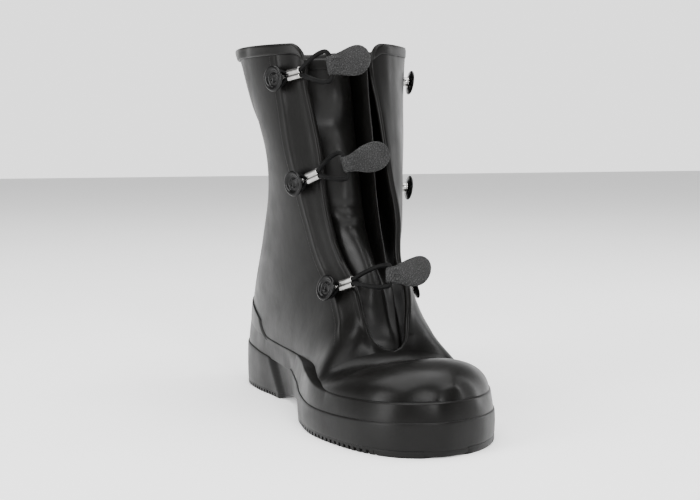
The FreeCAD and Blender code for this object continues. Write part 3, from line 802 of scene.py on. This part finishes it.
def make_gusset():
    """The folded sheet behind the opening, in two halves, with the band along its top."""
    z = np.linspace(GUSSET_LOW, GUSSET_HIGH, 150)
    whole = gusset_sheet(z, 0, 6, 145)
    whole_n = grid_normals(whole)
    whole_n = turned_to(whole_n, whole_n[..., 1], -1.0)
    middle = 48
    for side, columns, start, end in ((-1, slice(0, middle + 1), -6, -38), (1, slice(middle, 145), 2, 24)):
        name = SIDE_NAME[side]
        sheet, normals = whole[:, columns], whole_n[:, columns]
        back = sheet - normals * GUSSET_THICK
        piece = submesh("gusset_fold_" + name, [(sheet, normals), (back, -normals)])
        finish_piece(piece, GUSSET, ["gusset_" + name])
        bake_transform(piece)
        rows = []
        for out, height in ((0.1, BAND_LOW), (0.8, BAND_LOW), (1.0, BAND_LOW + 1), (1.0, GUSSET_HIGH - 1.0),
                            (0.5, GUSSET_HIGH + 0.3), (-0.8, GUSSET_HIGH + 0.8), (-2.0, GUSSET_HIGH + 0.3),
                            (-2.5, GUSSET_HIGH - 1.0), (-2.5, BAND_LOW + 1), (-1.4, BAND_LOW)):
            k = np.clip((height - GUSSET_LOW) / (GUSSET_HIGH - GUSSET_LOW), 0, 1) * (len(z) - 1)
            i = int(min(k, len(z) - 2))
            line = sheet[i] * (1 - (k - i)) + sheet[i + 1] * (k - i)
            points = line + normals[i] * out
            points[:, 2] = height
            rows.append(points)
        grid = np.array(rows)
        looks = grid_normals(grid)
        band = submesh("gusset_band_" + name, [(grid, turned_to(looks, looks[2], normals[-4]))])
        finish_piece(band, TRIM, ["gusset_binding_" + name])
        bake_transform(band)


make_gusset()


# ---- sole
def outline_ring(count):
    """Points and outward normals round the sole's outline, in millimetres."""
    length = HEEL_Y - TOE_Y
    inner = [(-w, TOE_Y + t * length) for t, w in INNER_OUTLINE]
    outer = [(w, TOE_Y + t * length) for t, w in OUTER_OUTLINE]
    ring = np.array([(TOE_X, TOE_Y)] + outer + [(HEEL_X, HEEL_Y)] + inner[::-1], float)
    chord = np.linalg.norm(np.roll(ring, -1, 0) - ring, axis=1)
    knots = np.concatenate([[0], np.cumsum(np.sqrt(chord))])
    extended = np.concatenate([ring[-3:], ring, ring[:4]])
    steps = np.sqrt(np.concatenate([chord[-3:], chord, chord[:3]]))
    places = np.concatenate([[0], np.cumsum(steps)]) - np.sum(steps[:3])
    curve = curve_through(extended, places, np.linspace(0, knots[-1], 4000, endpoint=False))
    run = np.concatenate([[0], np.cumsum(np.linalg.norm(np.roll(curve, -1, 0) - curve, axis=1))])
    wanted = np.linspace(0, run[-1], count, endpoint=False)
    closed = np.vstack([curve, curve[:1]])
    points = np.column_stack([np.interp(wanted, run, closed[:, 0]), np.interp(wanted, run, closed[:, 1])])
    ahead = np.roll(points, -1, 0) - np.roll(points, 1, 0)
    return points, unit(np.column_stack([ahead[:, 1], -ahead[:, 0]]))


RING_COUNT = 720
RING, RING_OUT = outline_ring(RING_COUNT)
NOTCH = np.interp(RING[:, 1], [p[0] for p in WAIST_NOTCH], [p[1] for p in WAIST_NOTCH])
RING_SIDEWALL = smooth_curve(SIDEWALL_TOP, RING[:, 1])
RING_FOXING = smooth_curve(FOXING_TOP, RING[:, 1])


def ring_sweep(name, profile, material, nodes, sharp=50):
    """A band round the outline. profile is a list of (inset array, height array)."""
    rows = []
    for inset, height in profile:
        xy = RING - RING_OUT * np.broadcast_to(inset, RING_COUNT)[:, None]
        rows.append(np.column_stack([xy, np.broadcast_to(height, RING_COUNT)]))
    piece = make_mesh(name, np.concatenate(rows), round_faces(len(profile), RING_COUNT))
    sharpen(piece, sharp)
    finish_piece(piece, material, nodes, "boot")


def ring_reach(heights):
    """Distance inwards from the outline to the upper at these heights."""
    points, faces = [], []
    for name in ("upper_body", "upper_flap_inner", "upper_flap_outer"):
        mesh = bpy.data.objects[name].data
        start = len(points)
        points += [v.co[:] for v in mesh.vertices]
        faces += [[start + i for i in p.vertices] for p in mesh.polygons]
    tree = BVHTree.FromPolygons(points, faces)
    found = []
    for (x, y), (nx, ny), z in zip(RING, RING_OUT, heights):
        start = Vector(((x + BAND_RAY * nx) * MM, (y + BAND_RAY * ny) * MM, z * MM))
        hit = tree.ray_cast(start, Vector((-nx, -ny, 0)))
        found.append(hit[3] / MM - BAND_RAY if hit[0] is not None else np.nan)
    found = np.array(found)
    good = ~np.isnan(found)
    index = np.arange(RING_COUNT)
    return np.interp(index, index[good], found[good], period=RING_COUNT)


PARTING = 4.4                       # height of the line between tread and sidewall
WAIST_DRAW = 3.4                    # how far the side draws in at the waist
RIB_RUNS = ((-47.0, 62.0), (152.0, 236.0))
TREAD_CREASE = 142.5                # y of the crease at the height of the tread
BAND_RAY = 12.0                     # rays towards the upper start this far outside the outline


def draw_in(ahead):
    """How far the side draws in, this far ahead of the crease at the heel."""
    return WAIST_DRAW * smoothstep(ahead, -5, 4) * smoothstep(-ahead, -62, -8)


def waist_hollow(height):
    """How far the outline draws in at the waist, at this height."""
    return draw_in(139.5 + 0.75 * height - RING[:, 1])


def make_side_bands():
    """The sidewall, and the foxing strip that leans on the upper."""
    bottom = np.maximum(NOTCH, PARTING)
    ones = np.ones(RING_COUNT)
    heights = [(6.0, bottom), (0.5, bottom), (0.4, bottom + 0.25)]
    heights += [(0.3 - 0.3 * math.sin(math.pi * k / 10),
                 bottom + (RING_SIDEWALL - bottom) * k / 10) for k in range(1, 10)]
    heights += [(0.35, RING_SIDEWALL - 0.9), (0.55, RING_SIDEWALL - 0.3), (1.0, RING_SIDEWALL),
                (5.0, RING_SIDEWALL + 0.2)]
    sidewall = [(inset * ones + waist_hollow(height), height) for inset, height in heights]
    ring_sweep("sidewall_band", sidewall, SOLE, ["sidewall"])
    reach = ring_reach(RING_FOXING)
    window = bell(np.arange(-24, 25), 7)
    reach = np.convolve(np.concatenate([reach[-24:], reach, reach[:24]]), window / window.sum(), mode="valid")
    top_inset = np.clip(reach - 0.9, -3.5, 16)
    base = RING_SIDEWALL - 1.0
    rows = []
    top_inset = np.minimum(top_inset, 4.2)
    for share in (0.0, 0.15, 0.35, 0.55, 0.75, 0.9, 0.97):
        hollow = waist_hollow(base + (RING_FOXING - base) * share) * (1 - share)
        inset = FOXING_INSET + (top_inset - FOXING_INSET) * share ** np.where(top_inset > FOXING_INSET, 1.6,
                                                                              0.8)
        rows.append((np.maximum(inset, np.minimum(inset + hollow, top_inset + 0.3)),
                     base + (RING_FOXING - base) * share))
    rows.append((top_inset + 0.35, RING_FOXING))
    rows.append((np.maximum(reach, top_inset) + 2.0, RING_FOXING + 0.3))
    ring_sweep("foxing_band", rows, UPPER, ["foxing_strip"])


def make_outsole():
    """Tread with its ribs, edge, and the raised waist."""
    rows = []
    for low, high in RIB_RUNS:
        for k in range(int((high - low) / RIB_PITCH)):
            y = low + k * RIB_PITCH
            rows += [(y, False), (y, True), (y + RIB_GROOVE, True), (y + RIB_GROOVE, False)]
    plain = [np.arange(TOE_Y + 4.0, -47.0, 1.5), np.arange(62.5, 152.0, 1.5),
             np.arange(236.0, HEEL_Y - 3.0, 0.9), [y for y, z in WAIST_NOTCH[1:-1]]]
    for y in np.concatenate(plain):
        if not any(abs(y - r[0]) < 0.05 for r in rows):
            rows.append((float(y), False))
    rows.sort(key=lambda r: r[0])

    def width(y, side):
        """The outline's x on one side at this y."""
        a, b = RING, np.roll(RING, -1, 0)
        crossing = (a[:, 1] - y) * (b[:, 1] - y) <= 0
        a, b = a[crossing], b[crossing]
        run = b[:, 1] - a[:, 1]
        share = (y - a[:, 1]) / np.where(np.abs(run) < 1e-9, 1, run)
        x = a[:, 0] + (b[:, 0] - a[:, 0]) * share
        return x.max() if side > 0 else x.min()
    notch_y, notch_z = [p[0] for p in WAIST_NOTCH], [p[1] for p in WAIST_NOTCH]
    points = []
    for y, groove in rows:
        low = float(np.interp(y, notch_y, notch_z))
        top = max(low, PARTING) if low < PARTING else low + 0.3
        draw = float(draw_in(TREAD_CREASE - y))
        left, right = width(y, -1) + draw, width(y, 1) - draw
        strip_l = max(-CENTRE_STRIP, left * 0.5)
        strip_r = min(CENTRE_STRIP, right * 0.5)
        z = RIB_DEPTH if groove else low
        edge = 0.6 if low < 2 else 0.2
        section = [(left + 6, top + 0.2), (left + 0.45, top), (left + 0.4, (z + top) / 2),
                   (left + 0.6, z + edge), (left + 1.2, z), ((left + strip_l) / 2, z), (strip_l, z),
                   (strip_l, low), (strip_r, low), (strip_r, z), ((right + strip_r) / 2, z), (right - 1.2, z),
                   (right - 0.5, z + edge), (right - 0.4, (z + top) / 2), (right - 0.45, top),
                   (right - 6, top + 0.2)]
        if y in (rows[0][0], rows[-1][0]):
            points += [(x, y, top + 0.2) for x, h in section]
        points += [(x, y, h) for x, h in section]
        if y == rows[-1][0]:
            points[-16:], points[-32:-16] = points[-32:-16], points[-16:]
    piece = make_mesh("outsole_tread", np.array(points), grid_faces(len(points) // 16, 16))
    weld(piece, 0.01 * MM)
    sharpen(piece, 30)
    finish_piece(piece, SOLE, ["outsole"], "boot")
    for name, chosen in (("toe_edge", RING[:, 1] < -44.5), ("heel_edge", RING[:, 1] > 235.0)):
        columns = np.flatnonzero(chosen)
        gap = np.flatnonzero(np.diff(columns) > 1)
        if len(gap):
            columns = np.concatenate([columns[gap[0] + 1:], columns[:gap[0] + 1]])
        band = []
        for inset, z in ((0.45, PARTING), (0.32, 3.6), (0.35, 2.4), (0.6, 1.3), (1.3, 0.45), (2.6, 0.08),
                         (5.0, 0.02)):
            xy = RING[columns] - RING_OUT[columns] * inset
            band.append(np.column_stack([xy, np.full(len(columns), z)]))
        grid = np.array(band)
        looks = grid_normals(grid)
        lip = submesh("outsole_" + name, [(grid, turned_to(looks, looks[1, :, :2], RING_OUT[columns]))])
        finish_piece(lip, SOLE, [], "boot")


def make_counter():
    """The heel patch, with its slanted top edge."""
    turns = np.linspace(0.2, 0.8, 130)
    line = [(150, 36), (166, 47), (196, 62), (262, 74), (300, 76)]

    def row_at(offset_fn):
        low, high = np.full(len(turns), 3.5), np.full(len(turns), 11.0)
        return bisect(lambda s: offset_fn(upper_point(s, turns)), low, high)
    top = row_at(lambda p: smooth_curve(line, p[..., 1]) - p[..., 2])
    edge = upper_point(top, turns)
    keep = (edge[:, 1] > 138) & (edge[:, 2] > smooth_curve(FOXING_TOP, edge[:, 1]) - 2)
    turns, top = turns[keep], top[keep]
    foot = row_at(lambda p: smooth_curve(FOXING_TOP, p[..., 1]) - 2.0 - p[..., 2])
    foot = np.maximum(foot, top + 0.02)
    shares = np.concatenate([[0.0, 0.0], np.linspace(0.02, 1, 30)])
    outs = np.concatenate([[-0.4, 0.7], np.full(30, 1.0)])
    s = top[None, :] + (foot - top)[None, :] * shares[:, None]
    s[0] -= 0.006
    wide = np.repeat(turns[None, :], len(shares), 0)
    out = np.repeat(outs[:, None], len(turns), 1)
    out[:, 0], out[:, -1] = -0.6, -0.6
    grid = skin(s, wide, out)[0]
    piece = submesh("heel_counter_patch", [(grid, outward_normals(grid, s, wide))])
    finish_piece(piece, UPPER, ["heel_counter"], "boot")


def make_insole():
    rows = []
    for inset, z in ((9.0, 20.2), (8.6, 21.5), (9.2, 22.6), (11.0, 23.0), (20.0, 23.0), (34.0, 22.8)):
        rows.append(np.column_stack([RING - RING_OUT * inset, np.full(RING_COUNT, z)]))
    rows.append(np.column_stack([RING[:, 0] * 0.02, np.clip(RING[:, 1], -25, 212),
                                 np.full(RING_COUNT, 22.7)]))
    grid = np.array(rows)
    grid = np.concatenate([grid, grid[:, :1]], axis=1)
    looks = grid_normals(grid)
    piece = submesh("insole_lining", [(grid, turned_to(looks, looks[3:, :, 2], 1.0))])
    finish_piece(piece, LINING, ["insole"], "boot")


make_side_bands()
make_outsole()
make_counter()
make_insole()


# ---- buttons
def turned(vector, axis, degrees):
    return np.array(Matrix.Rotation(math.radians(degrees), 3, Vector(axis)) @ Vector(vector))


def on_wall(y, z, side):
    """Point and outward normal of the upper's side wall at this side-view place."""
    s, t = np.meshgrid(np.linspace(0.5, 10, 400), np.linspace(0.02, 0.3, 300), indexing="ij")
    p = upper_point(s, side * t)
    k = np.unravel_index(np.argmin(np.hypot(p[..., 1] - y, p[..., 2] - z)), s.shape)
    s0, t0, step = s[k], side * t[k], 0.002
    along = upper_point(s0 + step, t0) - upper_point(s0 - step, t0)
    across = upper_point(s0, t0 + step) - upper_point(s0, t0 - step)
    normal = unit(np.cross(along, across))
    point = p[k].copy()
    point[1:] = (y, z)
    return point, normal if normal[0] * side > 0 else -normal


def button_frames(side):
    """Place, forward, up and normal of each button on one side."""
    frames = []
    for y, z in BUTTON_PLACES[side]:
        point, normal = on_wall(y, z, side)
        up = unit(np.array([0, 0, 1.0]) - normal * normal[2])
        forward = np.cross(up, normal) * side
        forward = -forward if forward[1] > 0 else forward
        frames.append((point, forward, up, normal))
    return frames


def lathe(profile, point, axis, segments=72):
    """Points and faces of a profile of (radius, height) turned about an axis."""
    side_way = unit(np.cross(axis, [0.3, 0.2, 1.0]))
    other = np.cross(axis, side_way)
    a = np.linspace(0, 2 * math.pi, segments, endpoint=False)[:, None]
    circle = np.cos(a) * side_way + np.sin(a) * other
    rows = [point + axis * height + radius * circle for radius, height in profile]
    return np.concatenate(rows), round_faces(len(profile), segments)


def join_solids(name, solids, material, nodes, sharp=40):
    """One piece from several turned solids."""
    points, faces, start = [], [], 0
    for p, f in solids:
        points.append(p)
        faces.append(f + start)
        start += len(p)
    piece = make_mesh(name, np.concatenate(points), np.concatenate(faces))
    weld(piece)
    sharpen(piece, sharp)
    return finish_piece(piece, material, nodes)


CAP_BASE = FACING + POST_REACH
BUTTON_SINK = {-1: 0.0, 1: 1.8}     # how far the buttons are set into the wall on each side
CAP_PROFILE = [(0.0, 0.0), (3.4, 0.0), (4.6, 0.15), (5.6, 0.55), (7.2, 0.9), (8.4, 1.15), (9.0, 1.45),
               (9.25, 1.95), (9.15, 2.45), (8.75, 2.85), (8.1, 3.05), (7.4, 3.0), (6.7, 2.75), (6.2, 2.45),
               (5.9, 2.1), (5.5, 1.75), (4.7, 1.55), (4.2, 1.55), (3.95, 1.75), (3.7, 1.95), (3.3, 1.95),
               (3.05, 1.7), (2.8, 1.2), (2.2, 0.9), (0.0, 0.8)]
POST_PROFILE = [(0.0, -5.0), (5.0, -5.0), (5.9, -4.6), (5.9, -3.7), (3.7, -3.7), (3.7, 0.9), (4.3, 1.1),
                (4.4, 1.3), (4.2, 1.6), (3.7, 1.8), (3.5, 2.2), (3.4, 4.2), (3.5, 5.8), (3.7, 6.4),
                (3.9, 6.7), (3.9, 7.0), (0.0, 7.0)]


def make_buttons():
    for side, name in SIDE_NAME.items():
        caps, posts = [], []
        for place, _, _, normal in button_frames(side):
            point = place - normal * BUTTON_SINK[side]
            caps.append(lathe([(r, h + CAP_BASE) for r, h in CAP_PROFILE], point, normal))
            posts.append(lathe(POST_PROFILE, point, normal, 48))
        cap = join_solids("button_discs_" + name, caps, BUTTON, ["button_caps_" + name])
        post = join_solids("button_shanks_" + name, posts, METAL, ["button_posts_" + name])
        for piece in (cap, post):
            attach(piece, "flap_" + name)
        recolour("button_washers_" + name, METAL)


def recolour(node, material):
    """Gives a node that is carried over from the CAD its material."""
    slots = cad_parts[node].data.materials
    slots.clear()
    slots.append(material)


make_buttons()
recolour("sole_core", SOLE)


# ---- loops, ferrules and pull tabs
def loop_frame(k):
    """Middle of the loop at the post, its normal, forward, height and far directions, its bend and end."""
    point, forward, _, normal = button_frames(-1)[k]
    eye = point + normal * (FACING + POST_REACH / 2)
    ahead = turned(forward, normal, LOOP_LIFT[k])
    if ahead[2] < 0:
        ahead = turned(forward, normal, -LOOP_LIFT[k])
    tall = np.cross(normal, ahead)
    tall = -tall if tall[2] < 0 else tall
    far = turned(ahead, tall, LOOP_TURN[k])
    if far @ normal > ahead @ normal:
        far = turned(ahead, tall, -LOOP_TURN[k])
    bend = eye + ahead * LOOP_CORNER
    end = bend + far * (LOOP_REACH[k] - FERRULE_START - FERRULE_LENGTH - BEND_GAP)
    return eye, normal, ahead, tall, far, bend, end


def loop_place(k, along, height):
    """A point of the loop, along its middle line and to one side of it."""
    eye, _, ahead, tall, far, _, _ = LOOPS[k]
    soft = 5.0
    beyond = along - LOOP_CORNER
    share = np.clip((beyond + soft) / (2 * soft), 0, 1)
    on_far = np.where(beyond >= soft, beyond, np.where(beyond <= -soft, 0.0, share * share * soft))
    on_near = along - on_far
    return eye + on_near[..., None] * ahead + on_far[..., None] * far + height[..., None] * tall


def closed_path(points, count):
    """Evenly spaced points on a smooth closed curve through points."""
    pts = np.concatenate([points[-2:], points, points[:3]])
    chord = np.sqrt(np.linalg.norm(np.diff(pts, axis=0), axis=1))
    places = np.concatenate([[0], np.cumsum(chord)])
    curve = curve_through(pts, places, np.linspace(places[2], places[-3], count * 12))
    run = np.concatenate([[0], np.cumsum(np.linalg.norm(np.diff(curve, axis=0), axis=1))])
    wanted = np.linspace(0, run[-1], count, endpoint=False)
    return np.column_stack([np.interp(wanted, run, curve[:, a]) for a in range(3)])


def closed_tube(path, radius, across, segments=16):
    """A tube along a closed path that lies near one plane with normal across."""
    ahead = unit(np.roll(path, -1, 0) - np.roll(path, 1, 0))
    side_way = unit(np.cross(ahead, across))
    other = np.cross(side_way, ahead)
    a = np.linspace(0, 2 * math.pi, segments, endpoint=False)
    ring = np.cos(a)[None, :, None] * side_way[:, None] + np.sin(a)[None, :, None] * other[:, None]
    points = (path[:, None] + radius * ring).reshape(-1, 3)
    return points, round_faces(len(path), segments, closed=True)


# Shape of each loop: share of the way from ferrule to tab, half height as a share of the widest
LOOP_SHAPE = [(0.06, 0.22), (0.25, 0.46), (0.5, 0.78), (0.74, 0.98), (0.9, 0.98)]
LOOP_HALF, BAR_HALF = [10.6, 9.4, 7.6], [6.6, 5.6, 5.4]
LOOPS = [loop_frame(k) for k in range(3)]


def make_cord(k):
    """One closed cord: round the post, through the ferrule and out to the tab."""
    _, normal, _, tall, far, _, _ = LOOPS[k]
    start, reach = FERRULE_START + FERRULE_LENGTH, LOOP_REACH[k]
    ring = POST_RADIUS + CORD_RADIUS + 0.1
    flat = []
    for degrees in (180, 140, 100, 62):
        a = math.radians(degrees)
        flat.append((ring * math.cos(a), ring * math.sin(a)))
    flat += [(FERRULE_START - 3.5, 2.5), (FERRULE_START, CORD_RADIUS + 0.1), (start, CORD_RADIUS + 0.1)]
    for share, half in LOOP_SHAPE:
        flat.append((start + share * (reach - start), half * LOOP_HALF[k]))
    flat += [(reach - 0.6, BAR_HALF[k] + 1.6), (reach, BAR_HALF[k] - 0.8), (reach, 0.0)]
    lower = [(a, -h) for a, h in flat[1:-1]][::-1]
    table = np.array(flat + lower, float)
    path = closed_path(loop_place(k, table[:, 0], table[:, 1]), 260)
    points, faces = closed_tube(path, CORD_RADIUS, unit(normal + unit(np.cross(far, tall)) * 0.01))
    piece = make_mesh(f"elastic_loop_{k + 1}", points, faces)
    weld(piece)
    finish_piece(piece, CORD, [f"loop_cord_{k + 1}", f"loop_end_{k + 1}"])
    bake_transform(piece)


def make_ferrule(k):
    """Two barrels pressed from one strip, pinched in the middle."""
    eye, _, ahead, tall, _, _, _ = LOOPS[k]
    out = np.cross(ahead, tall)
    rows, segments = [], 64
    a = np.linspace(0, 2 * math.pi, segments, endpoint=False)
    for share, grow in ((0.0, -0.6), (0.0, -0.15), (0.03, 0.05), (0.08, 0.05), (0.12, 0.0), (0.4, -0.05),
                        (0.5, -0.08), (0.6, -0.05), (0.88, 0.0), (0.92, 0.05), (0.97, 0.05), (1.0, -0.15),
                        (1.0, -0.6)):
        h = np.cos(a)
        waist = 1 - 0.42 * np.exp(-(h / 0.2) ** 2)
        x = (4.2 + grow) * np.sign(h) * np.abs(h) ** 0.8
        y = (2.45 + grow) * np.sin(a) * waist
        middle = eye + ahead * (FERRULE_START + FERRULE_LENGTH * share)
        rows.append(middle + x[:, None] * tall + y[:, None] * out)
    piece = make_mesh(f"crimp_ferrule_{k + 1}", np.concatenate(rows), round_faces(len(rows), segments))
    weld(piece)
    sharpen(piece, 50)
    finish_piece(piece, METAL, [f"ferrule_{k + 1}"], f"loop_{k + 1}")


TAB_WIDTH = [(-3.2, 4.6), (-2.4, 5.8), (0, 6.2), (3, 6.5), (7, 7.6), (12, 9.3), (17, 10.3), (21, 10.4),
             (25, 9.3), (28, 7.2), (30, 4.6), (30.8, 2.3), (31.0, 0.7)]
TAB_HALF_THICK = [(-3.2, 0.4), (-2.4, 2.3), (-1, 3.1), (1, 3.1), (4, 2.1), (8, 1.35), (14, 1.2), (31.0, 1.1)]


def make_tab(k):
    """Pear-shaped leather tab folded round the end of the loop."""
    _, normal, _, tall, far, _, end = LOOPS[k]
    out = np.cross(far, tall)
    out = -out if out @ normal < 0 else out
    scale = BAR_HALF[k] / 6.0
    along = np.concatenate([[-3.2, -3.0, -2.7], np.linspace(-2.3, 28, 70),
                            31 - 3 * (1 - np.linspace(0, 1, 14)[1:]) ** 2])
    rows, segments = [], 112
    a = np.linspace(0, 2 * math.pi, segments, endpoint=False)
    for d in along:
        half = float(smooth_curve(TAB_WIDTH, np.array([d]))[0])
        half = half * (scale + (1 - scale) * float(smoothstep(np.array([d]), 2, 14)[0]))
        thick = float(smooth_curve(TAB_HALF_THICK, np.array([d]))[0])
        h = np.cos(a)
        x = half * np.sign(h) * np.abs(h) ** 0.75
        y = thick * np.sign(np.sin(a)) * np.abs(np.sin(a)) ** 0.55
        pucker = 0.35 * np.sin(x * 1.7 + k) * math.exp(-((d - 5.5) / 3.2) ** 2)
        wave = 0.25 * np.sin(d * 0.35 + x * 0.22 + 2 * k)
        dish = 0.010 * x * x * math.exp(-((d - 14) / 12) ** 2)
        lift = y + pucker + wave - dish + 0.004 * d * d
        rows.append(end + far * d + x[:, None] * tall + lift[:, None] * out)
    points = np.concatenate(rows)
    ends = [range(segments), range(len(points) - segments, len(points))]
    piece = make_mesh(f"leather_tab_{k + 1}", points, ends + list(round_faces(len(rows), segments)))
    weld(piece)
    finish_piece(piece, LEATHER, [f"pull_tab_{k + 1}"], f"pull_tab_{k + 1}")


for number in range(3):
    make_cord(number)
    make_ferrule(number)
    make_tab(number)
